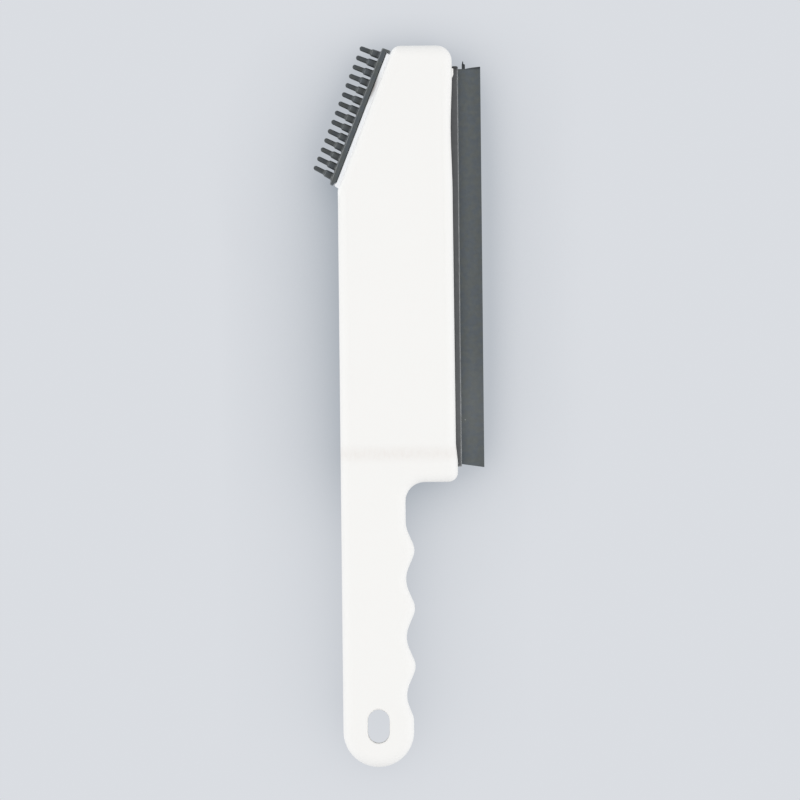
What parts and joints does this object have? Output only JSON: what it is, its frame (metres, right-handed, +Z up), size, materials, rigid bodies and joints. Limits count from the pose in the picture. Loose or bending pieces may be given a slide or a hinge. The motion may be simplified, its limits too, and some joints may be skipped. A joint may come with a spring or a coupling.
{
  "type": "pet hair removal brush",
  "caption": "Hand-held pet hair remover: two-shell handle with finger grooves and hanging slot, rubber squeegee blade along one side and rubber-fingered comb pad on the slanted corner.",
  "frame": {"origin": "on the ground under the middle of the whole brush, which lies on the flat rear face of its head", "axes": "+Y along the brush from the hanging end to the head, +X across it towards the squeegee blade, +Z up through its thickness, from the rear face to the front face"},
  "size_m": [0.067, 0.2882, 0.025],
  "materials": {
    "white_plastic": "satin moulded white plastic",
    "dark_rubber": "matt dark grey rubber"
  },
  "bodies": {
    "root": {"front_shell": "white_plastic", "rear_shell": "white_plastic", "comb_pad": "dark_rubber", "squeegee": "dark_rubber"}
  },
  "joints": []
}
